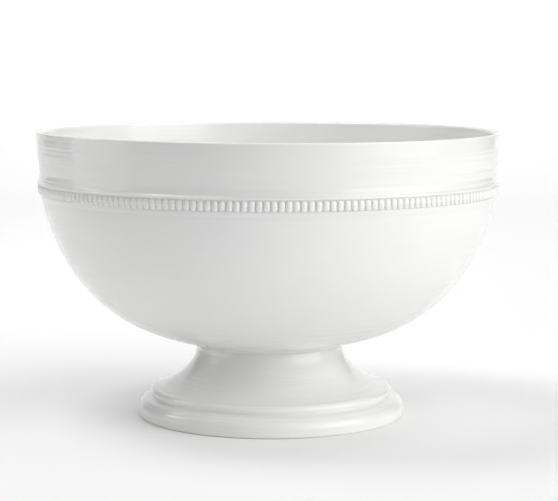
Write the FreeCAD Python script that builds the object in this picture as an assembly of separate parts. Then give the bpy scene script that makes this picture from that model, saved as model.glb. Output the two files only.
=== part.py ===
import FreeCAD, Part
import math
import os

# A round footed punch bowl in glazed earthenware. Every piece is a solid of revolution about Z,
# apart from the beads of the border. Millimetres, +Z up, origin at the centre of the face that
# the foot ring stands on.

V = FreeCAD.Vector
AXIS = V(0, 0, 1)

# Heights, from the table up
foot_top = 53.6            # top face of the pedestal
bowl_base = 57.0           # flat underside of the bowl, above the joint ring
border_low = 166.0         # lower edge of the beaded border
strip_low = 170.6          # between the lower fillet and the bead strip
strip_high = 178.6         # between the bead strip and the upper fillet
border_high = 183.5        # upper edge of the border
height = 217.0             # top of the lip

# Radii of the bowl
base_radius = 56.0         # flat part of the underside
belly_low_radius = 171.05  # outside of the bowl at the border's lower edge
waist_radius = 172.95      # outside of the bowl at the border's upper edge
rim_radius = 175.0         # widest point of the lip
lip_round_out = 1.0        # rounding of the lip's outer edge
lip_round_in = 2.6         # rounding of the lip's inner edge

# Wall thickness of the bowl
wall_base = 8.0
wall_rim = 4.6

# Beaded border
bead_count = 216
bead_half_width = 2.47     # where a bead meets the strip
bead_half_height = 3.97
bead_crest = 174.3         # radius over the middle of a bead
strip_depth = 1.0          # how far the strip stands out from the bowl
lower_fillet_crest = 172.0
upper_fillet_crest = 174.6

# Neck and pedestal
neck_radius = 55.6
joint_crest = 56.4         # outside of the joint ring's rounded edge
neck_bore = 48.0           # inside of the pedestal at its top
roll_radius = 92.3         # crest of the rolled edge above the base
crease_radius = 91.2       # groove under the roll
base_edge_radius = 101.7   # widest point of the base
foot_ring_outer = 99.6
foot_ring_inner = 91.0


def point(radius, z):
    return V(radius, 0, z)


def line(start, end):
    return Part.makeLine(start, end)


def arc(start, middle, end):
    return Part.Arc(start, middle, end).toShape()


def spline(points, start_direction, end_direction):
    curve = Part.BSplineCurve()
    curve.interpolate(points, InitialTangent=start_direction, FinalTangent=end_direction)
    return curve.toShape()


def revolve(edges):
    """Turn a closed outline in the XZ plane a full circle about Z."""
    face = Part.Face(Part.Wire(edges))
    return face.revolve(V(0, 0, 0), AXIS, 360)


def wall_line_radius(z):
    """Outside radius of the bowl behind the border, where the wall is a plain cone."""
    share = (z - border_low) / (border_high - border_low)
    return belly_low_radius + share * (waist_radius - belly_low_radius)


def make_bowl():
    """The open bowl: flat base, round belly, cone behind the border, hollow-sided collar, lip."""
    belly_low = point(belly_low_radius, border_low)
    waist = point(waist_radius, border_high)
    inner_rim = rim_radius - wall_rim
    lip_out = point(rim_radius, height - lip_round_out)
    lip_top_out = point(rim_radius - lip_round_out, height)
    lip_top_in = point(inner_rim + lip_round_in, height)
    lip_in = point(inner_rim, height - lip_round_in)
    corner = 1 - math.sqrt(0.5)
    out_middle = point(rim_radius - corner * lip_round_out, height - corner * lip_round_out)
    in_middle = point(inner_rim + corner * lip_round_in, height - corner * lip_round_in)
    base_edge = point(base_radius, bowl_base)

    outer_belly = spline(
        [base_edge, point(80, 61.4), point(100, 69.0), point(120, 80.8), point(140, 99.5),
         point(155, 121.2), point(163.6, 140), belly_low],
        V(1, 0, 0.07), V(0.14, 0, 1))
    collar = spline(
        [waist, point(172.95, 188), point(174.15, 202), lip_out],
        V(-0.12, 0, 1), V(0.06, 0, 1))

    inner_base = bowl_base + wall_base
    inner_collar = spline(
        [lip_in, point(169.6, 202), point(168.0, 185), point(165.4, border_low)],
        V(-0.06, 0, -1), V(-0.16, 0, -1))
    inner_belly = spline(
        [point(165.4, border_low), point(157.6, 140), point(148.6, 121.2), point(133.6, 99.5),
         point(114.4, 83.4), point(93.0, 72.6), point(74, 67.0), point(52, inner_base)],
        V(-0.16, 0, -1), V(-1, 0, -0.02))

    return revolve([
        line(point(0, bowl_base), base_edge),
        outer_belly,
        line(belly_low, waist),
        collar,
        arc(lip_out, out_middle, lip_top_out),
        line(lip_top_out, lip_top_in),
        arc(lip_top_in, in_middle, lip_in),
        inner_collar,
        inner_belly,
        line(point(52, inner_base), point(0, inner_base)),
        line(point(0, inner_base), point(0, bowl_base)),
    ])


def make_lower_fillet():
    """A low half-round moulding that runs round the bowl under the beads."""
    bottom = point(wall_line_radius(border_low), border_low)
    top = point(wall_line_radius(strip_low), strip_low)
    middle = point(lower_fillet_crest, (border_low + strip_low) / 2 + 0.7)
    return revolve([arc(bottom, middle, top), line(top, bottom)])


def make_upper_fillet():
    """The ledge over the beads: it sweeps out from the collar to a rounded edge."""
    top = point(wall_line_radius(border_high), border_high)
    crest = point(upper_fillet_crest, strip_high + 0.7)
    under = point(upper_fillet_crest - 0.6, strip_high)
    bottom = point(wall_line_radius(strip_high), strip_high)
    sweep = spline([top, point(wall_line_radius(181.6) + 0.62, 181.6),
                    point(wall_line_radius(180.4) + 1.45, 180.4), crest],
                   V(-0.1, 0, -1), V(0, 0, -1))
    return revolve([
        sweep,
        arc(crest, point(upper_fillet_crest - 0.17, strip_high + 0.2), under),
        line(under, bottom),
        line(bottom, top),
    ])


def make_strip():
    """The flat band between the fillets that carries the beads."""
    low_in = point(wall_line_radius(strip_low), strip_low)
    high_in = point(wall_line_radius(strip_high), strip_high)
    low_out = low_in + V(strip_depth, 0, 0)
    high_out = high_in + V(strip_depth, 0, 0)
    return revolve([line(low_in, low_out), line(low_out, high_out),
                    line(high_out, high_in), line(high_in, low_in)])


def make_beads():
    """Upright oval beads that lean with the wall, each cut on its back where it sits on the strip."""
    middle_z = (strip_low + strip_high) / 2
    proud = bead_crest - wall_line_radius(middle_z) - strip_depth
    round_radius = (bead_half_width ** 2 + proud ** 2) / (2 * proud)
    half_length = bead_half_height * round_radius / bead_half_width
    centre = V(bead_crest - round_radius, 0, middle_z)
    ellipse = Part.Ellipse(V(0, 0, half_length), V(round_radius, 0, 0), V(0, 0, 0))
    half = Part.ArcOfEllipse(ellipse, -math.pi, 0).toShape()
    bead = Part.Face(Part.Wire([half, line(V(0, 0, half_length), V(0, 0, -half_length))]))
    bead = bead.revolve(V(0, 0, 0), AXIS, 360)
    slope = math.atan((waist_radius - belly_low_radius) / (border_high - border_low))
    bead.rotate(V(0, 0, 0), V(0, 1, 0), math.degrees(slope))
    bead.translate(centre)

    slack = 6.0
    low = middle_z - slack
    high = middle_z + slack
    backing = Part.makeCone(wall_line_radius(low) + strip_depth, wall_line_radius(high) + strip_depth,
                            high - low, V(0, 0, low), AXIS)
    band = Part.makeBox(40, 40, strip_high - strip_low, V(bead_crest - 20, -20, strip_low))
    bead = bead.cut(backing).common(band).Solids[0]

    beads = []
    for index in range(bead_count):
        copy = bead.copy()
        copy.rotate(V(0, 0, 0), AXIS, 360.0 * index / bead_count)
        beads.append(copy)
    return Part.makeCompound(beads)


def make_joint_ring():
    """The ring of slip between pedestal and bowl, with its outer edge left round."""
    low_out = point(neck_radius, foot_top)
    high_out = point(neck_radius, bowl_base)
    low_in = point(neck_bore, foot_top)
    high_in = point(neck_bore, bowl_base)
    return revolve([
        line(low_in, low_out),
        arc(low_out, point(joint_crest, (foot_top + bowl_base) / 2), high_out),
        line(high_out, high_in),
        line(high_in, low_in),
    ])


def make_pedestal():
    """The flared hollow pedestal, with a rolled edge above a stepped round base."""
    neck = point(neck_radius, foot_top)
    sweep_end = point(88.2, 22)
    crease = point(crease_radius, 15.4)
    step = point(94.6, 14.3)
    shoulder = point(98.9, 12)
    side = point(base_edge_radius, 4.5)
    ring_out = point(foot_ring_outer, 0)
    ring_in = point(foot_ring_inner, 0)
    bore_top = point(neck_bore, foot_top)

    sweep = spline([neck, point(57.7, 45), point(65.2, 35), point(74.6, 28), sweep_end],
                   V(0.02, 0, -1), V(1, 0, -0.32))
    hollow = spline([ring_in, point(88.5, 5), point(80.5, 15.5), point(67.5, 23.5),
                     point(57.5, 31.5), point(50.5, 42), bore_top],
                    V(-0.25, 0, 1), V(-0.03, 0, 1))
    return revolve([
        sweep,
        arc(sweep_end, point(roll_radius, 18.2), crease),
        line(crease, step),
        arc(step, point(97.0, 13.6), shoulder),
        arc(shoulder, point(101.1, 9), side),
        arc(side, point(101.3, 1.5), ring_out),
        line(ring_out, ring_in),
        hollow,
        line(bore_top, neck),
    ])


pieces = {
    "bowl_shell": make_bowl(),
    "lower_fillet": make_lower_fillet(),
    "bead_strip": make_strip(),
    "beads": make_beads(),
    "upper_fillet": make_upper_fillet(),
    "joint_ring": make_joint_ring(),
    "pedestal_foot": make_pedestal(),
}

os.makedirs("parts", exist_ok=True)
for name, shape in pieces.items():
    shape.exportStep("parts/" + name + ".step")
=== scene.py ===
import math
import random

import bpy
import numpy as np
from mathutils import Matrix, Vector


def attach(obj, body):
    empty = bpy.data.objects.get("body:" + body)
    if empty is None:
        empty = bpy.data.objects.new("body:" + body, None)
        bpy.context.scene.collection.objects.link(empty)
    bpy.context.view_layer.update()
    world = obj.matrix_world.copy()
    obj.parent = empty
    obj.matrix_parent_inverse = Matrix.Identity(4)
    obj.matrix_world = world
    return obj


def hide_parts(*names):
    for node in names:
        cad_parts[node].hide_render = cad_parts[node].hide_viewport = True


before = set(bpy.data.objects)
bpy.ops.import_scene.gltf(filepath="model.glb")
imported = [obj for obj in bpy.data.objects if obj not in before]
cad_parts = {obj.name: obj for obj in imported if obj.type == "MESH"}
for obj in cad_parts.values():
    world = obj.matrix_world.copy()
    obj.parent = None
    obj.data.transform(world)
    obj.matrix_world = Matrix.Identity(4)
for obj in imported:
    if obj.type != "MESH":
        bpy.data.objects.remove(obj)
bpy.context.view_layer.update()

MM = 0.001

# ---------------------------------------------------------------- dimensions, in millimetres
HEIGHT = 217.0
RIM_RADIUS = 175.0
WALL_RIM = 4.6
LIP_ROUND_OUT = 1.0
LIP_ROUND_IN = 2.6
BASE_RADIUS = 56.0
BOWL_BASE = 57.0
WALL_BASE = 8.0
BORDER_LOW = 166.0
STRIP_LOW = 170.6
STRIP_HIGH = 178.6
STRIP_MIDDLE = (STRIP_LOW + STRIP_HIGH) / 2
BORDER_HIGH = 183.5
BELLY_LOW_RADIUS = 171.05
WAIST_RADIUS = 172.95
STRIP_DEPTH = 1.0
BEAD_COUNT = 216
BEAD_CREST = 174.3         # radius over the middle of a bead
LOWER_FILLET_CREST = 172.0
UPPER_FILLET_CREST = 174.6
FOOT_TOP = 53.6
NECK_RADIUS = 55.6
NECK_BORE = 48.0
JOINT_CREST = 56.4
ROLL_RADIUS = 92.3
WALL_SINK = 0.4            # how far the backs of the border pieces sink into the wall
BEAD_SINK = 0.3            # how much deeper a bead sits at its top and right than in its middle

# Heights of the throwing rings, fine ones and broad ones, in millimetres
OUTER_RINGS = (0.05225, 0.095)
INNER_RINGS = (0.05, 0.13)
FOOT_RINGS = (0.05, 0.09)
FOOT_INNER_RINGS = 0.16
GROOVE_DEPTH = 0.22        # the turned line on the shoulder of the base
BORDER_WANDER = 0.05
JOINT_WANDER = 0.1

# How many steps each turned piece has round the pot
BOWL_SEGMENTS = 200
BORDER_SEGMENTS = 720
JOINT_SEGMENTS = 360
FOOT_SEGMENTS = 300

# Colours and roughness of the glaze
GLAZE_COOL = (0.835, 0.838, 0.835)
GLAZE_WARM = (0.865, 0.860, 0.848)
# Painted shade: the grey put into creases, grooves and bead crevices where shade falls
GLAZE_PAINTED_SHADE = (0.72, 0.73, 0.735, 1)
# Painted shade for the whole face of the bead strip, the channel between the beads
CHANNEL_PAINTED_SHADE = (0.69, 0.70, 0.705, 1)
GLAZE_THIN = (0.87, 0.855, 0.825, 1)
BARE_CLAY = (0.66, 0.59, 0.49, 1)
RUBBED = 0.30
CLAY_ROUGH = 0.85


# ---------------------------------------------------------------- outlines
def hermite(start, start_slope, end, end_slope, share):
    """A cubic from start to end with the given directions, scaled to the distance between them."""
    s2, s3 = share * share, share ** 3
    return ((2 * s3 - 3 * s2 + 1) * start + (s3 - 2 * s2 + share) * start_slope
            + (3 * s2 - 2 * s3) * end + (s3 - s2) * end_slope)


def smooth(points, step, start=None, end=None):
    """A smooth curve through the points, sampled about every step millimetres.

    start and end are the directions at its ends, or None for a natural end."""
    pts = np.array(points, float)
    chord = np.r_[0, np.cumsum(np.linalg.norm(np.diff(pts, axis=0), axis=1))]
    gap = np.diff(chord)
    count = len(pts)
    # tangents of the C2 cubic spline through the points
    system = np.zeros((count, count))
    right = np.zeros((count, 2))
    for i in range(1, count - 1):
        system[i, i - 1] = gap[i]
        system[i, i] = 2 * (gap[i - 1] + gap[i])
        system[i, i + 1] = gap[i - 1]
        right[i] = 3 * (gap[i] * (pts[i] - pts[i - 1]) / gap[i - 1]
                        + gap[i - 1] * (pts[i + 1] - pts[i]) / gap[i])
    for row, near, direction in ((0, 1, start), (count - 1, count - 2, end)):
        system[row, row] = 1
        if direction is None:
            system[row, row], system[row, near] = 2, 1
            ends = (0, 1) if row == 0 else (count - 2, count - 1)
            right[row] = 3 * (pts[ends[1]] - pts[ends[0]]) / gap[0 if row == 0 else -1]
        else:
            direction = np.array(direction, float)
            right[row] = direction / np.linalg.norm(direction)
    tangents = np.linalg.solve(system, right)
    out = []
    for i in range(count - 1):
        parts = max(2, int(round(gap[i] / step)))
        for k in range(parts):
            out.append(hermite(pts[i], tangents[i] * gap[i], pts[i + 1], tangents[i + 1] * gap[i],
                               k / parts))
    out.append(pts[-1])
    return np.array(out)


def arc(start, middle, end, parts):
    """The circle through three points, from the first to the last."""
    (ax, ay), (bx, by), (cx, cy) = start, middle, end
    d = 2 * (ax * (by - cy) + bx * (cy - ay) + cx * (ay - by))
    a2, b2, c2 = ax * ax + ay * ay, bx * bx + by * by, cx * cx + cy * cy
    ux = (a2 * (by - cy) + b2 * (cy - ay) + c2 * (ay - by)) / d
    uy = (a2 * (cx - bx) + b2 * (ax - cx) + c2 * (bx - ax)) / d
    radius = math.hypot(ax - ux, ay - uy)
    first = math.atan2(ay - uy, ax - ux)
    mid = math.atan2(by - uy, bx - ux)
    last = math.atan2(cy - uy, cx - ux)
    turn = (last - first) % (2 * math.pi)
    if (mid - first) % (2 * math.pi) > turn:
        turn -= 2 * math.pi
    angles = first + turn * np.linspace(0, 1, parts + 1)
    return np.stack([ux + radius * np.cos(angles), uy + radius * np.sin(angles)], 1)


def straight(start, end, parts):
    """A straight run in so many equal parts."""
    share = np.linspace(0, 1, parts + 1)[:, None]
    return np.array(start, float) * (1 - share) + np.array(end, float) * share


def joined(*runs):
    """The runs end to end, without the points that two of them share."""
    out = [runs[0]]
    for run in runs[1:]:
        out.append(run[1:] if np.linalg.norm(run[0] - out[-1][-1]) < 1e-6 else run)
    return np.concatenate(out)


# ---------------------------------------------------------------- thrown surfaces
def waves(seed, low, high, count, power=0.5):
    """Seeded sine waves with pitches from low to high millimetres, longer ones taller."""
    rng = random.Random(seed)
    out = []
    for _ in range(count):
        pitch = low * (high / low) ** rng.random()
        out.append((2 * math.pi / pitch, rng.uniform(0, 2 * math.pi), (pitch / high) ** power,
                    rng.choice((1, 1, 2, 3)), rng.uniform(0, 2 * math.pi), rng.uniform(0.6, 2.2)))
    return out


def rings(bank, along, angle):
    """Throwing rings: ridges along the wall that drift and fade slowly round the pot."""
    total = np.zeros(np.broadcast(along, angle).shape)
    for wave, phase, size, turns, start, drift in bank:
        fade = 0.6 + 0.4 * np.sin(turns * angle + start)
        total = total + size * fade * np.sin(wave * along + phase
                                             + drift * np.sin(angle + start))
    return total / math.sqrt(len(bank))


def length_of(run):
    return np.linalg.norm(np.diff(run, axis=0), axis=1).sum()


def attribute(mesh, name, values):
    """A number for each vertex, which the materials read by name."""
    layer = mesh.attributes.new(name, "FLOAT", "POINT")
    layer.data.foreach_set("value", np.asarray(values, np.float32).ravel())


def turned(name, outline, segments, relief=None, shade_and_thin=None, wobble=None):
    """A closed solid of revolution whose outline runs once round its section.

    relief(along, angle, r, z) pushes the surface out along its normal, in millimetres.
    shade_and_thin(r, z) is painted shade in creases where it is above 0 and thin glaze where it
    is below 0. The outline may start and end on the axis."""
    on_axis = outline[0][0] < 1e-6
    body = outline[1:-1] if on_axis else outline[:-1]
    step = np.roll(body, -1, 0) - np.roll(body, 1, 0)
    if on_axis:
        step[0] = body[1] - outline[0]
        step[-1] = outline[-1] - body[-2]
    normal = np.stack([step[:, 1], -step[:, 0]], 1)
    normal /= np.linalg.norm(normal, axis=1)[:, None]
    area = 0.5 * np.sum(outline[:-1, 0] * outline[1:, 1] - outline[1:, 0] * outline[:-1, 1])
    if area < 0:
        normal = -normal
    along = np.r_[0, np.cumsum(np.linalg.norm(np.diff(body, axis=0), axis=1))]
    angle = 2 * math.pi * np.arange(segments) / segments
    r = body[:, 0][:, None] + np.zeros(segments)
    z = body[:, 1][:, None] + np.zeros(segments)
    if relief is not None:
        push = relief(along[:, None], angle[None, :], body[:, 0][:, None], body[:, 1][:, None])
        r = r + normal[:, 0][:, None] * push
        z = z + normal[:, 1][:, None] * push
    x, y = r * np.cos(angle), r * np.sin(angle)
    if wobble is not None:
        x, y, z = wobble(x, y, z)
    rows = len(body)
    verts = np.stack([x, y, z], 2).reshape(-1, 3) * MM
    index = np.arange(rows * segments).reshape(rows, segments)
    right = np.roll(index, -1, 1)
    if on_axis:
        low, high = index[:-1], index[1:]
        low_r, high_r = right[:-1], right[1:]
    else:
        low, high = index, np.roll(index, -1, 0)
        low_r, high_r = right, np.roll(right, -1, 0)
    quads = np.stack([low, low_r, high_r, high], 2).reshape(-1, 4)
    if area < 0:
        quads = quads[:, ::-1]
    faces = [tuple(q) for q in quads.tolist()]
    along_all = np.repeat(along, segments)
    shade_and_thin_all = np.repeat(np.zeros(rows) if shade_and_thin is None else shade_and_thin(body[:, 0], body[:, 1]), segments)
    if on_axis:
        first, last = len(verts), len(verts) + 1
        verts = np.concatenate([verts, [[0, 0, outline[0][1] * MM], [0, 0, outline[-1][1] * MM]]])
        for k in range(segments):
            n = (k + 1) % segments
            a = (first, int(index[0, n]), int(index[0, k]))
            b = (last, int(index[-1, k]), int(index[-1, n]))
            faces.append(a if area > 0 else a[::-1])
            faces.append(b if area > 0 else b[::-1])
        along_all = np.r_[along_all, 0, along[-1]]
        shade_and_thin_all = np.r_[shade_and_thin_all, 0, 0]
    return finished(name, verts, faces, along_all, shade_and_thin_all)


def finished(name, verts, faces, along, shade_and_thin):
    """The mesh as a smooth object. along and shade_and_thin (painted shade above 0, thin glaze
    below 0) are numbers for each vertex.
    """
    mesh = bpy.data.meshes.new(name)
    mesh.from_pydata([tuple(v) for v in np.asarray(verts).tolist()], [], faces)
    mesh.update()
    attribute(mesh, "along", np.asarray(along) * MM)
    attribute(mesh, "shade_and_thin", shade_and_thin)
    mesh.shade_smooth()
    obj = bpy.data.objects.new(name, mesh)
    bpy.context.scene.collection.objects.link(obj)
    return obj


def gather(z, centre, reach):
    """1 at the height centre, fading to nothing a couple of reaches above and below it."""
    return np.exp(-((z - centre) / reach) ** 2)


def wall_radius(z):
    """Outside radius of the bowl behind the border, where the wall is a plain cone."""
    share = (z - BORDER_LOW) / (BORDER_HIGH - BORDER_LOW)
    return BELLY_LOW_RADIUS + share * (WAIST_RADIUS - BELLY_LOW_RADIUS)


def lean(x, y, z):
    """How the pot is out of true, the same for every piece.

    Towards the lip it is a little oval and its level dips. It leans in x from the base to the lip,
    most of all over the pedestal."""
    up = np.clip((z - BOWL_BASE) / (HEIGHT - BOWL_BASE), 0, 1)
    down = np.clip(1 - z / BOWL_BASE, 0, 1)
    angle = np.arctan2(y, x)
    dip = 0.45 * np.cos(angle - math.pi) + 0.25 * np.sin(2 * angle + 0.6)
    oval = 1 + up * (0.0009 * np.cos(2 * angle + 0.7) - 0.0009)
    return x * oval - 0.35 * up + 0.7 * (1 - up) + 1.3 * down, y * oval, z + up * (dip - 0.7)


# ---------------------------------------------------------------- the bowl
fine = waves(11, 1.9, 4.2, 9)
broad = waves(12, 6.0, 16.0, 7)
inner_fine = waves(13, 2.2, 5.0, 9)
inner_broad = waves(14, 8.0, 22.0, 7)
foot_fine = waves(15, 1.8, 3.6, 8)
foot_broad = waves(16, 5.0, 11.0, 5)


def two_rings(heights, fine_bank, broad_bank, along, angle):
    return (heights[0] * rings(fine_bank, along, angle)
            + heights[1] * rings(broad_bank, along, angle))


def bowl_relief(along, angle, r, z):
    """Throwing rings, which fade out behind the border, at the lip and at the flat of the base."""
    border = np.clip((np.abs(z - STRIP_MIDDLE) - 9.0) / 4.0, 0, 1)
    lip_fade = np.clip((HEIGHT - 1.5 - z) / 5.0, 0, 1)
    base = np.clip((r - BASE_RADIUS - 6) / 30.0, 0, 1)
    out = two_rings(OUTER_RINGS, fine, broad, along, angle) * border * base
    inside = two_rings(INNER_RINGS, inner_fine, inner_broad, along, angle)
    return np.where(along < outer_length, out, inside) * lip_fade


def bowl_shade_and_thin(r, z):
    """Painted shade a little along the creases at the border, and thin glaze over the lip."""
    border = 0.15 * gather(z, BORDER_LOW - 0.6, 1.0) + 0.15 * gather(z, BORDER_HIGH + 0.2, 0.8)
    return border - 0.6 * gather(z, HEIGHT, 1.2)


lip_out = (RIM_RADIUS, HEIGHT - LIP_ROUND_OUT)
lip_top_out = (RIM_RADIUS - LIP_ROUND_OUT, HEIGHT)
lip_top_in = (RIM_RADIUS - WALL_RIM + LIP_ROUND_IN, HEIGHT)
lip_in = (RIM_RADIUS - WALL_RIM, HEIGHT - LIP_ROUND_IN)
inner_base = BOWL_BASE + WALL_BASE
underside = straight((0, BOWL_BASE), (BASE_RADIUS, BOWL_BASE), 10)
belly = smooth([(BASE_RADIUS, BOWL_BASE), (80, 61.4), (100, 69.0), (120, 80.8), (140, 99.5),
                (155, 121.2), (163.6, 140), (BELLY_LOW_RADIUS, BORDER_LOW)],
               1.05, (1, 0.07), (0.14, 1))
seat = straight((BELLY_LOW_RADIUS, BORDER_LOW), (WAIST_RADIUS, BORDER_HIGH), 6)
collar = smooth([(WAIST_RADIUS, BORDER_HIGH), (172.95, 188), (174.15, 202), lip_out],
                0.8, (-0.12, 1), (0.06, 1))
corner = 1 - math.sqrt(0.5)
lip = joined(arc(lip_out, (RIM_RADIUS - corner * LIP_ROUND_OUT, HEIGHT - corner * LIP_ROUND_OUT),
                 lip_top_out, 6),
             straight(lip_top_out, lip_top_in, 2),
             arc(lip_top_in, (RIM_RADIUS - WALL_RIM + corner * LIP_ROUND_IN,
                              HEIGHT - corner * LIP_ROUND_IN), lip_in, 8))
inner_wall = smooth([lip_in, (169.6, 202), (168.0, 185), (165.4, BORDER_LOW)],
                    1.2, (-0.06, -1), (-0.16, -1))
inner_belly = smooth([(165.4, BORDER_LOW), (157.6, 140), (148.6, 121.2), (133.6, 99.5),
                      (114.4, 83.4), (93.0, 72.6), (74, 67.0), (52, inner_base)],
                     1.5, (-0.16, -1), (-1, -0.02))
well = straight((52, inner_base), (0, inner_base), 24)
bowl_outline = joined(underside, belly, seat, collar, lip, inner_wall, inner_belly, well)
outer_length = length_of(joined(underside, belly, seat, collar, lip[:7]))

bowl = turned("bowl", bowl_outline, BOWL_SEGMENTS, bowl_relief, bowl_shade_and_thin, lean)


# ---------------------------------------------------------------- the beaded border
def softened(outline, reach, keep):
    """The outline with its corners rounded, as a coat of glaze rounds them.

    keep(points) is 1 where the outline stays as it is and 0 where it is rounded in full."""
    closed = outline[:-1]
    length = np.linalg.norm(closed - np.roll(closed, 1, 0), axis=1).mean()
    width = max(1, int(round(2.5 * reach / length)))
    offsets = np.arange(-width, width + 1)
    weights = np.exp(-0.5 * (offsets * length / reach) ** 2)
    weights /= weights.sum()
    out = sum(w * np.roll(closed, -k, 0) for w, k in zip(weights, offsets))
    hold = keep(closed)[:, None]
    out = out * (1 - hold) + closed * hold
    return np.concatenate([out, out[:1]])


def slow_waves(seed, size):
    """A slow wander round the pot, in millimetres."""
    rng = random.Random(seed)
    terms = [(turns, rng.uniform(0, 2 * math.pi), size / (1 + 0.25 * turns))
             for turns in (2, 3, 5, 8, 13, 21)]
    return lambda angle: sum(a * np.sin(n * angle + p) for n, p, a in terms) / 2.4


lower_wander = slow_waves(21, BORDER_WANDER)
upper_wander = slow_waves(22, BORDER_WANDER)


def wall_point(z, out=0.0):
    """A point of an outline, so far out from the wall behind the border."""
    return (wall_radius(z) + out, z)


lower_outline = joined(
    smooth([wall_point(BORDER_LOW - 0.5, -WALL_SINK), wall_point(BORDER_LOW + 0.4, 0.03),
            wall_point(167.6, 0.26), wall_point(168.8, 0.52), (LOWER_FILLET_CREST, 169.8),
            wall_point(STRIP_LOW, 0.45), wall_point(STRIP_LOW + 0.2, -WALL_SINK)], 0.28),
    straight(wall_point(STRIP_LOW + 0.2, -WALL_SINK), wall_point(BORDER_LOW - 0.5, -WALL_SINK), 6))
upper_outline = joined(
    smooth([wall_point(BORDER_HIGH + 0.6, -WALL_SINK), wall_point(BORDER_HIGH - 0.3, 0.0),
            wall_point(182.5, 0.03), wall_point(181.6, 0.24), wall_point(180.8, 0.82),
            wall_point(180.15, 1.6), (UPPER_FILLET_CREST - 0.1, 179.75),
            (UPPER_FILLET_CREST, 179.3),
            (UPPER_FILLET_CREST - 0.45, STRIP_HIGH - 0.05), wall_point(STRIP_HIGH - 0.1, 0.6),
            wall_point(STRIP_HIGH, -WALL_SINK)], 0.25),
    straight(wall_point(STRIP_HIGH, -WALL_SINK), wall_point(BORDER_HIGH + 0.6, -WALL_SINK), 6))
# Glaze fills the strip's corners, so its face is a shallow channel between the fillets.
strip_face = joined(
    straight(wall_point(STRIP_LOW - 0.1, -WALL_SINK), wall_point(STRIP_LOW - 0.1, 0.7), 4),
    smooth([wall_point(STRIP_LOW - 0.1, 0.7), wall_point(STRIP_LOW + 0.25, STRIP_DEPTH + 0.2),
            wall_point(STRIP_LOW + 1.2, STRIP_DEPTH + 0.25),
            wall_point(STRIP_MIDDLE, STRIP_DEPTH + 0.1), wall_point(STRIP_HIGH - 1.2, STRIP_DEPTH),
            wall_point(STRIP_HIGH - 0.4, STRIP_DEPTH + 0.2),
            wall_point(STRIP_HIGH + 0.1, STRIP_DEPTH + 0.5)], 0.3),
    straight(wall_point(STRIP_HIGH + 0.1, STRIP_DEPTH + 0.5),
             wall_point(STRIP_HIGH + 0.1, -WALL_SINK), 4),
    straight(wall_point(STRIP_HIGH + 0.1, -WALL_SINK), wall_point(STRIP_LOW - 0.1, -WALL_SINK), 6))

# Painted shade in the creases where the lower fillet meets the strip and the wall
lower_fillet = turned(
    "lower_fillet_glazed", lower_outline, BORDER_SEGMENTS,
    lambda along, angle, r, z: lower_wander(angle) * (r > wall_radius(z)),
    lambda r, z: 0.5 * gather(z, STRIP_LOW, 0.4) + 0.15 * gather(z, BORDER_LOW, 0.7), lean)
# Painted shade in the crease under the ledge, and thin glaze over the ledge's nose
upper_fillet = turned(
    "upper_fillet_glazed", upper_outline, BORDER_SEGMENTS,
    lambda along, angle, r, z: upper_wander(angle) * (r > wall_radius(z)),
    lambda r, z: 0.6 * gather(z, STRIP_HIGH, 0.3) - 0.6 * gather(z, STRIP_HIGH + 0.9, 0.6), lean)
# Painted shade over the whole strip face, the channel round the beads
strip = turned("bead_strip_glazed", strip_face, BORDER_SEGMENTS, None,
               lambda r, z: np.ones_like(z), lean)


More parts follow.
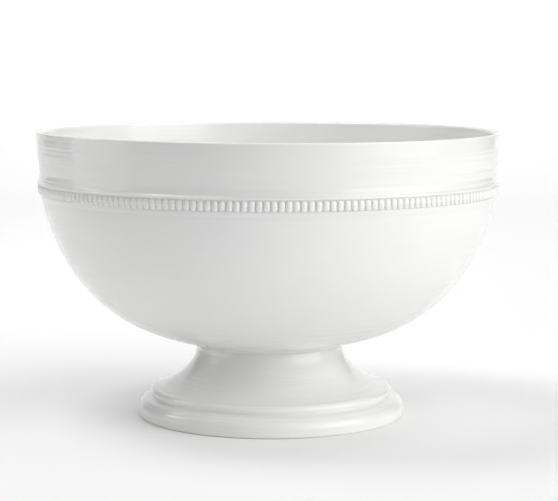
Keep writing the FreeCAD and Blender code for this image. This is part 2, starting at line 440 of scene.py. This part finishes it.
def bead_row():
    """The upright oval beads: low pillows with steep sides, pressed one after another.

    Each is sunk deeper at its top right, where the stamp was pushed in. u runs to a bead's right
    and v up it; height is how far it stands out from the strip."""
    rng = random.Random(31)
    around, across = 26, 11
    half_width, half_height, square = 2.62, 4.05, 2.35
    slope = math.atan((WAIST_RADIUS - BELLY_LOW_RADIUS) / (BORDER_HIGH - BORDER_LOW))
    face = wall_radius(STRIP_MIDDLE) + STRIP_DEPTH
    phi = 2 * math.pi * np.arange(around) / around
    cos, sin = np.cos(phi), np.sin(phi)
    side = np.sign(cos) * np.abs(cos) ** (2 / square)
    tall = np.sign(sin) * np.abs(sin) ** (2 / square)
    # Towards its top right a bead falls away more gently and stops short of its neighbour.
    side = side * np.where(cos > 0, 0.91, 1.04)
    tall = tall * np.where(sin > 0, 0.95, 1.02)
    fall = 0.72 + 0.16 * (cos + sin) / math.sqrt(2)
    share = np.sin(0.5 * math.pi * np.linspace(0, 1, across + 1)[1:])
    verts, faces, along, shade_and_thin = [], [], [], []
    for index in range(BEAD_COUNT):
        turn = 2 * math.pi * (index + rng.uniform(-0.025, 0.025)) / BEAD_COUNT
        wide = half_width * rng.uniform(0.975, 1.01)
        high = half_height * rng.uniform(0.975, 1.02)
        proud = (BEAD_CREST - face) * rng.uniform(0.94, 1.03)
        tilt = math.radians(rng.uniform(-2.5, 2.5))
        shift = rng.uniform(-0.08, 0.08)
        skew = rng.uniform(-0.06, 0.06)
        u = np.outer(share, wide * side)
        v = np.outer(share, high * tall)
        height = proud * (1 - share[:, None] ** 2) ** fall[None, :]
        height = height * (1 + skew * u / wide) - BEAD_SINK * (u / wide + v / high)
        u = np.concatenate([[0.0], u.ravel(), u[-1]])
        v = np.concatenate([[0.0], v.ravel(), v[-1]])
        height = np.concatenate([[proud], height.ravel() - 0.02, np.full(around, -0.5)])
        u, v = u * math.cos(tilt) - v * math.sin(tilt), u * math.sin(tilt) + v * math.cos(tilt)
        up = v * math.cos(slope) - height * math.sin(slope)
        out = face + v * math.sin(slope) + height * math.cos(slope)
        x = out * math.cos(turn) - u * math.sin(turn)
        y = out * math.sin(turn) + u * math.cos(turn)
        x, y, z = lean(x, y, STRIP_MIDDLE + shift + up)
        first = len(verts)
        verts.extend(np.stack([x, y, z], 1) * MM)
        rows = [[first + 1 + row * around + k % around for k in range(around + 1)]
                for row in range(across + 1)]
        for k in range(around):
            faces.append((first, rows[0][k], rows[0][k + 1]))
            for row in range(across):
                faces.append((rows[row][k], rows[row + 1][k], rows[row + 1][k + 1],
                              rows[row][k + 1]))
        faces.append(tuple(reversed(rows[across][:around])))
        along.extend(v)
        # Painted shade: darker the further a point sits below the bead's crest, in the crevices
        # between beads; the crests get thin glaze
        deep = np.clip(1 - np.maximum(height, 0) / proud, 0, 1) ** 2
        shade_and_thin.extend(0.9 * deep - 0.35)
    return finished("beads_glazed", verts, faces, along, shade_and_thin)


beads = bead_row()

# ---------------------------------------------------------------- joint ring and pedestal
def under_bowl(radius, deep=0.0):
    """A point on the bowl's underside, or deep millimetres inside its wall."""
    return (radius, np.interp(radius, belly[:, 0], belly[:, 1]) + deep)


# The slip of the joint sweeps from the neck out under the bowl and feathers into it.
joint_outline = joined(
    straight((NECK_BORE, FOOT_TOP - 0.3), (NECK_RADIUS - 0.3, FOOT_TOP - 0.3), 12),
    smooth([(NECK_RADIUS - 0.3, FOOT_TOP - 0.3), (NECK_RADIUS + 0.15, FOOT_TOP + 0.3),
            (NECK_RADIUS + 1.0, FOOT_TOP + 1.35), (JOINT_CREST + 2.0, FOOT_TOP + 2.4),
            under_bowl(JOINT_CREST + 4.9, -0.5), under_bowl(JOINT_CREST + 8.6, -0.16),
            under_bowl(JOINT_CREST + 12.2, 0.06)], 0.3, (0.5, 1), (1, 0.2)),
    straight(under_bowl(JOINT_CREST + 12.2, 0.06), under_bowl(JOINT_CREST + 12.0, 0.5), 2),
    straight(under_bowl(JOINT_CREST + 12.0, 0.5), (BASE_RADIUS, BOWL_BASE + 0.5), 8),
    straight((BASE_RADIUS, BOWL_BASE + 0.5), (NECK_BORE, BOWL_BASE + 0.5), 12),
    straight((NECK_BORE, BOWL_BASE + 0.5), (NECK_BORE, FOOT_TOP - 0.3), 6))
joint_wander = slow_waves(23, JOINT_WANDER)
# Painted shade along the crease at the foot of the joint
joint = turned("joint_ring_glazed", joint_outline, JOINT_SEGMENTS,
               lambda along, angle, r, z: joint_wander(angle) * (r > NECK_RADIUS),
               lambda r, z: 0.1 * gather(z, FOOT_TOP, 0.6), lean)

neck = (NECK_RADIUS, FOOT_TOP)
sweep_end = (88.2, 22)
crease = (91.2, 15.4)
ledge = (94.6, 14.3)
shoulder = (98.9, 12)
side = (101.7, 4.5)
ring_out = (99.6, 0)
ring_in = (91.0, 0)
bore_top = (NECK_BORE, FOOT_TOP)
foot_side = joined(
    smooth([neck, (57.7, 45), (65.2, 35), (74.6, 28), sweep_end], 0.45, (0.02, -1), (1, -0.32)),
    arc(sweep_end, (ROLL_RADIUS, 18.2), crease, 26),
    straight(crease, ledge, 8),
    arc(ledge, (97.0, 13.6), shoulder, 12),
    arc(shoulder, (101.1, 9), side, 18))
foot_edge = smooth([side, (101.6, 2.2), (101.2, 0.6), (100.5, 0.1), ring_out],
                   0.4, (0, -1), (-1, 0))
hollow = smooth([ring_in, (88.5, 5), (80.5, 15.5), (67.5, 23.5), (57.5, 31.5), (50.5, 42),
                 bore_top], 0.9, (-0.25, 1), (-0.03, 1))
foot_outline = joined(foot_side, foot_edge, straight(ring_out, ring_in, 14), hollow,
                      straight(bore_top, neck, 10))


def away_from_crease(p):
    """0 in the groove under the roll, 1 from about 4 mm away from it."""
    return np.clip(np.hypot(p[:, 0] - 92.0, p[:, 1] - 15.2) / 2.0 - 0.9, 0, 1)


def near_ends(p):
    """1 on the foot ring's face and at the joint, where the pedestal meets something."""
    return np.clip(1 - np.minimum(p[:, 1], FOOT_TOP + 0.6 - p[:, 1]) / 1.2, 0, 1)


# Glaze fills the groove under the roll, and rounds every other edge by less.
foot_outline = softened(foot_outline, 1.4, away_from_crease)
foot_outline = softened(foot_outline, 0.5, near_ends)
past_side = length_of(foot_outline[:len(foot_side)]) + 0.1      # just past the last outside point


def foot_relief(along, angle, r, z):
    """Rings that are plain on the flare and faint on the base, and the line on its shoulder.

    Below the base's side, and in the hollow, only the broad rings are left."""
    free = np.clip((FOOT_TOP - z) / 4, 0, 1) * np.clip((z - 1.5) / 3, 0, 1)
    upper = np.clip((z - 21) / 3, 0.25, 1)
    out = two_rings(FOOT_RINGS, foot_fine, foot_broad, along, angle) * upper
    out = out - GROOVE_DEPTH * gather(z, 12.4, 0.55) * (r > 95)
    inside = FOOT_INNER_RINGS * rings(foot_broad, along, angle)
    return np.where(along < past_side, out, inside) * free


def foot_shade_and_thin(r, z):
    """Painted shade in the groove under the roll and at the joint, and thin glaze on the shoulder.
    """
    outer = (r > 54) & (z > 12)
    groove = 0.2 * gather(z, 15.2, 0.9) * (r > 88) - 0.4 * gather(z, 13.6, 0.8) * (r > 93)
    return groove + 0.1 * gather(z, FOOT_TOP, 1.0) * outer


foot = turned("pedestal_glazed", foot_outline, FOOT_SEGMENTS, foot_relief, foot_shade_and_thin, lean)


# ---------------------------------------------------------------- materials
def node(tree, kind, **inputs):
    made = tree.nodes.new(kind)
    for key, value in inputs.items():
        made.inputs[key].default_value = value
    return made


def maths(tree, kind, operation, **inputs):
    """A math or vector math node. inputs are named in0, in1 and in2, by their place on it."""
    made = tree.nodes.new(kind)
    made.operation = operation
    for key, value in inputs.items():
        made.inputs[int(key[2:])].default_value = value
    return made


def read_attribute(tree, name):
    made = tree.nodes.new("ShaderNodeAttribute")
    made.attribute_name = name
    return made


def link(tree, source, output, target, into):
    tree.links.new(source.outputs[output], target.inputs[into])


def ramp(tree, stops):
    """A colour ramp between two stops, each a place and a colour or grey."""
    made = tree.nodes.new("ShaderNodeValToRGB")
    for element, (place, value) in zip(made.color_ramp.elements, stops):
        element.position = place
        element.color = (*value, 1) if isinstance(value, tuple) else (value, value, value, 1)
    return made


def thrown_space(tree, around, across):
    """Coordinates that follow the wall: slow round the pot, quick along its outline."""
    where = tree.nodes.new("ShaderNodeTexCoord")
    flat = maths(tree, "ShaderNodeVectorMath", "MULTIPLY", in1=(1, 1, 0))
    link(tree, where, "Object", flat, 0)
    unit = maths(tree, "ShaderNodeVectorMath", "NORMALIZE")
    link(tree, flat, 0, unit, 0)
    wide = maths(tree, "ShaderNodeVectorMath", "SCALE")
    wide.inputs["Scale"].default_value = around
    link(tree, unit, 0, wide, 0)
    tall = maths(tree, "ShaderNodeMath", "MULTIPLY", in1=across)
    link(tree, read_attribute(tree, "along"), "Fac", tall, 0)
    up = tree.nodes.new("ShaderNodeCombineXYZ")
    link(tree, tall, 0, up, "Z")
    total = maths(tree, "ShaderNodeVectorMath", "ADD")
    link(tree, wide, 0, total, 0)
    link(tree, up, 0, total, 1)
    return total


def share_of(tree, source, low, high):
    """An attribute's share of the way from low to high, held between 0 and 1."""
    made = tree.nodes.new("ShaderNodeMapRange")
    made.inputs["From Min"].default_value = low
    made.inputs["From Max"].default_value = high
    link(tree, source, "Fac", made, "Value")
    return made


def mixed(tree, factor, below, above):
    """A colour that goes from below's output to the colour above as the factor's Result rises."""
    made = tree.nodes.new("ShaderNodeMix")
    made.data_type = "RGBA"
    tree.links.new(factor.outputs["Result"], made.inputs[0])
    tree.links.new(below, made.inputs[6])
    made.inputs[7].default_value = above
    return made.outputs[2]


def glaze(name, ring_height, skin_height, gloss, painted_shade=GLAZE_PAINTED_SHADE):
    """A clear gloss glaze over white earthenware.

    It is greyer with painted shade where shade_and_thin is above 0, in creases and crevices,
    and creamier and duller where it runs thin over edges that hands and cloths rub. Its gloss
    dips a little in streaks that follow the throwing rings.
    Where the attribute bare is 1 there is no glaze, only the buff clay. The heights of its
    ripples are in millimetres, and gloss is its lowest and highest roughness."""
    material = bpy.data.materials.new(name)
    material.use_nodes = True
    tree = material.node_tree
    shader = tree.nodes["Principled BSDF"]
    shader.inputs["IOR"].default_value = 1.5
    shader.inputs["Specular IOR Level"].default_value = 0.5

    where = tree.nodes.new("ShaderNodeTexCoord")
    cloud = node(tree, "ShaderNodeTexNoise", Scale=14.0, Detail=4.0, Roughness=0.55)
    link(tree, where, "Object", cloud, "Vector")
    tint = ramp(tree, [(0.3, GLAZE_COOL), (0.7, GLAZE_WARM)])
    link(tree, cloud, "Fac", tint, "Fac")
    # Painted shade: above 0 the glaze is greyed towards the painted shade colour, below 0 it is
    # thin glaze
    shade_and_thin_node = read_attribute(tree, "shade_and_thin")
    deep = share_of(tree, shade_and_thin_node, 0.0, 1.0)
    thin = share_of(tree, shade_and_thin_node, 0.0, -1.0)
    clay = share_of(tree, read_attribute(tree, "bare"), 0.2, 0.8)
    colour = mixed(tree, deep, tint.outputs["Color"], painted_shade)
    colour = mixed(tree, thin, colour, GLAZE_THIN)
    colour = mixed(tree, clay, colour, BARE_CLAY)
    tree.links.new(colour, shader.inputs["Base Color"])

    streak = node(tree, "ShaderNodeTexNoise", Scale=1.0, Detail=3.0, Roughness=0.6)
    link(tree, thrown_space(tree, 1.6, 420.0), 0, streak, "Vector")
    streaky = ramp(tree, [(0.3, gloss[0]), (0.75, gloss[1])])
    link(tree, streak, "Fac", streaky, "Fac")
    dull = mixed(tree, thin, streaky.outputs["Color"], (RUBBED, RUBBED, RUBBED, 1))
    dull = mixed(tree, clay, dull, (CLAY_ROUGH, CLAY_ROUGH, CLAY_ROUGH, 1))
    tree.links.new(dull, shader.inputs["Roughness"])

    ring = node(tree, "ShaderNodeTexNoise", Scale=1.0, Detail=2.5, Roughness=0.55)
    link(tree, thrown_space(tree, 1.1, 900.0), 0, ring, "Vector")
    skin = node(tree, "ShaderNodeTexNoise", Scale=260.0, Detail=2.0, Roughness=0.5)
    link(tree, where, "Object", skin, "Vector")
    first = node(tree, "ShaderNodeBump", Strength=1.0, Distance=ring_height * MM)
    link(tree, ring, "Fac", first, "Height")
    second = node(tree, "ShaderNodeBump", Strength=1.0, Distance=skin_height * MM)
    link(tree, skin, "Fac", second, "Height")
    link(tree, first, "Normal", second, "Normal")
    link(tree, second, "Normal", shader, "Normal")
    return material


wall_glaze = glaze("thrown_glaze", ring_height=0.05, skin_height=0.006, gloss=(0.07, 0.17))
trim_glaze = glaze("trim_glaze", ring_height=0.02, skin_height=0.006, gloss=(0.10, 0.20))
bead_glaze = glaze("bead_glaze", ring_height=0.0, skin_height=0.008, gloss=(0.22, 0.34))
strip_glaze = glaze("channel_glaze", ring_height=0.0, skin_height=0.006, gloss=(0.22, 0.34),
                    painted_shade=CHANNEL_PAINTED_SHADE)

# The foot ring's face was wiped clean of glaze, so it shows bare clay.
ground = np.array([v.co[:] for v in foot.data.vertices])
reach = np.hypot(ground[:, 0], ground[:, 1]) / MM
on_ring = (ground[:, 2] / MM < 0.35) & (reach > 90.0) & (reach < 101.5)
attribute(foot.data, "bare", on_ring.astype(float))

for piece, material, nodes in (
        (bowl, wall_glaze, ["bowl_shell"]),
        (lower_fillet, trim_glaze, ["lower_fillet"]),
        (strip, strip_glaze, ["bead_strip"]),
        (beads, bead_glaze, ["beads"]),
        (upper_fillet, trim_glaze, ["upper_fillet"]),
        (joint, trim_glaze, ["joint_ring"]),
        (foot, wall_glaze, ["pedestal_foot"])):
    piece.data.materials.append(material)
    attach(piece, "root")
    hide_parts(*nodes)


# ---------------------------------------------------------------- floor, light, camera
# Radiance of each light
LEFT_BOX = 1.3
LEFT_HIGH_BOX = 3.9
RIGHT_BOX_FRONT = 1.85
RIGHT_BOX_SIDE = 1.95
TOP_BOX_LEFT = 5.5
TOP_BOX_RIGHT = 2.2
SWEEP_LIGHT = 5.5
TABLE_GLOW = 0.02
ROOM_LOBES = [(60, 10, 1.0), (60, 45, 0.25), (20, 45, 1.05)]     # azimuth, elevation, radiance
LOBE_TIGHTNESS = 6.0

# The paper sweep, in metres
SWEEP_SIDES = (-1.8, 1.5)
SWEEP_FRONT = -1.0
SWEEP_BEND = 1.9
SWEEP_BEND_RADIUS = 0.8
SWEEP_TOP = 3.0

# The camera
CAMERA_PLACE = (0.0079, -1.4, 0.2817)
CAMERA_TILT = 6.39         # degrees below level
CAMERA_LENS = 118.97


def backdrop():
    """A paper sweep: flat under the bowl, curving up behind it."""
    back = SWEEP_BEND + SWEEP_BEND_RADIUS
    bend_low = (SWEEP_BEND, 0)
    bend_middle = (SWEEP_BEND + SWEEP_BEND_RADIUS * math.sqrt(0.5),
                   SWEEP_BEND_RADIUS * (1 - math.sqrt(0.5)))
    bend_high = (back, SWEEP_BEND_RADIUS)
    line = joined(straight((SWEEP_FRONT, 0), bend_low, 8),
                  arc(bend_low, bend_middle, bend_high, 16),
                  straight(bend_high, (back, SWEEP_TOP), 4))
    verts = [(x, y, z) for y, z in line for x in SWEEP_SIDES]
    faces = [(2 * i, 2 * i + 1, 2 * i + 3, 2 * i + 2) for i in range(len(line) - 1)]
    mesh = bpy.data.meshes.new("paper_sweep")
    mesh.from_pydata(verts, [], faces)
    mesh.shade_smooth()
    obj = bpy.data.objects.new("paper_sweep", mesh)
    bpy.context.scene.collection.objects.link(obj)
    material = bpy.data.materials.new("paper")
    material.use_nodes = True
    shader = material.node_tree.nodes["Principled BSDF"]
    shader.inputs["Base Color"].default_value = (0.93, 0.93, 0.93, 1)
    shader.inputs["Roughness"].default_value = 0.9
    shader.inputs["Specular IOR Level"].default_value = 0.1
    shader.inputs["Emission Color"].default_value = (1, 1, 1, 1)
    shader.inputs["Emission Strength"].default_value = TABLE_GLOW
    mesh.materials.append(material)


def softbox(name, place, aim, width, height, radiance):
    """An even rectangular light, turned towards aim. The glaze mirrors it, the camera doesn't."""
    light = bpy.data.lights.new(name, "AREA")
    light.shape = "RECTANGLE"
    light.size, light.size_y = width, height
    light.energy = radiance * math.pi * width * height
    obj = bpy.data.objects.new(name, light)
    place, aim = Vector(place), Vector(aim)
    obj.location = place
    obj.rotation_euler = (aim - place).to_track_quat("-Z", "Y").to_euler()
    obj.visible_camera = False
    bpy.context.scene.collection.objects.link(obj)


def bearing(azimuth, elevation=0.0):
    """A unit direction. Azimuth 0 is towards the camera and 90 to the right."""
    a, e = math.radians(azimuth), math.radians(elevation)
    return Vector((math.sin(a) * math.cos(e), -math.cos(a) * math.cos(e), math.sin(e)))


def standing_box(name, low, high, bottom, top, distance, radiance):
    """A softbox on end between two azimuths, facing the bowl."""
    middle = bearing((low + high) / 2) * distance
    width = 2 * distance * math.tan(math.radians((high - low) / 2))
    z = (bottom + top) / 2
    softbox(name, (middle.x, middle.y, z), (0, 0, z), width, top - bottom, radiance)


backdrop()
standing_box("left_box", -104, -66, 0.01, 0.36, 1.25, LEFT_BOX)
standing_box("right_box_front", 35, 60, 0.02, 1.3, 1.7, RIGHT_BOX_FRONT)
standing_box("right_box_side", 60, 85, 0.02, 1.3, 1.7, RIGHT_BOX_SIDE)
softbox("left_high_box", (-1.3, 0.2, 0.8), (0, 0, 0.12), 0.5, 0.5, LEFT_HIGH_BOX)
softbox("top_box_left", (-0.6, 0.1, 1.6), (0, 0, 0.12), 0.7, 0.7, TOP_BOX_LEFT)
softbox("top_box_right", (0.7, 0.1, 1.6), (0, 0, 0.12), 0.8, 0.8, TOP_BOX_RIGHT)
softbox("sweep_light", (0, 0.9, 1.9), (0, 2.7, 0.7), 3.0, 0.4, SWEEP_LIGHT)


def room_light():
    """The studio's own soft light: a few broad glows, each brightest in one direction."""
    world = bpy.data.worlds.new("studio")
    bpy.context.scene.world = world
    world.use_nodes = True
    tree = world.node_tree
    background = tree.nodes["Background"]
    background.inputs["Color"].default_value = (1, 1, 1, 1)
    where = tree.nodes.new("ShaderNodeTexCoord")
    total = None
    for azimuth, elevation, strength in ROOM_LOBES:
        facing = maths(tree, "ShaderNodeVectorMath", "DOT_PRODUCT", in1=bearing(azimuth, elevation))
        link(tree, where, "Generated", facing, 0)
        fall = maths(tree, "ShaderNodeMath", "MULTIPLY_ADD", in1=LOBE_TIGHTNESS,
                     in2=-LOBE_TIGHTNESS)
        link(tree, facing, "Value", fall, 0)
        glow = maths(tree, "ShaderNodeMath", "EXPONENT")
        link(tree, fall, 0, glow, 0)
        lobe = maths(tree, "ShaderNodeMath", "MULTIPLY_ADD", in1=strength, in2=0.0)
        link(tree, glow, 0, lobe, 0)
        if total is not None:
            link(tree, total, 0, lobe, 2)
        total = lobe
    link(tree, total, 0, background, "Strength")


room_light()

camera_data = bpy.data.cameras.new("camera")
camera_data.sensor_width = 36
camera_data.lens = CAMERA_LENS
camera_data.clip_start, camera_data.clip_end = 0.05, 50
camera = bpy.data.objects.new("camera", camera_data)
camera.location = CAMERA_PLACE
camera.rotation_euler = (math.radians(90 - CAMERA_TILT), 0, 0)
bpy.context.scene.collection.objects.link(camera)
bpy.context.scene.camera = camera
bpy.context.scene.view_settings.view_transform = "Standard"
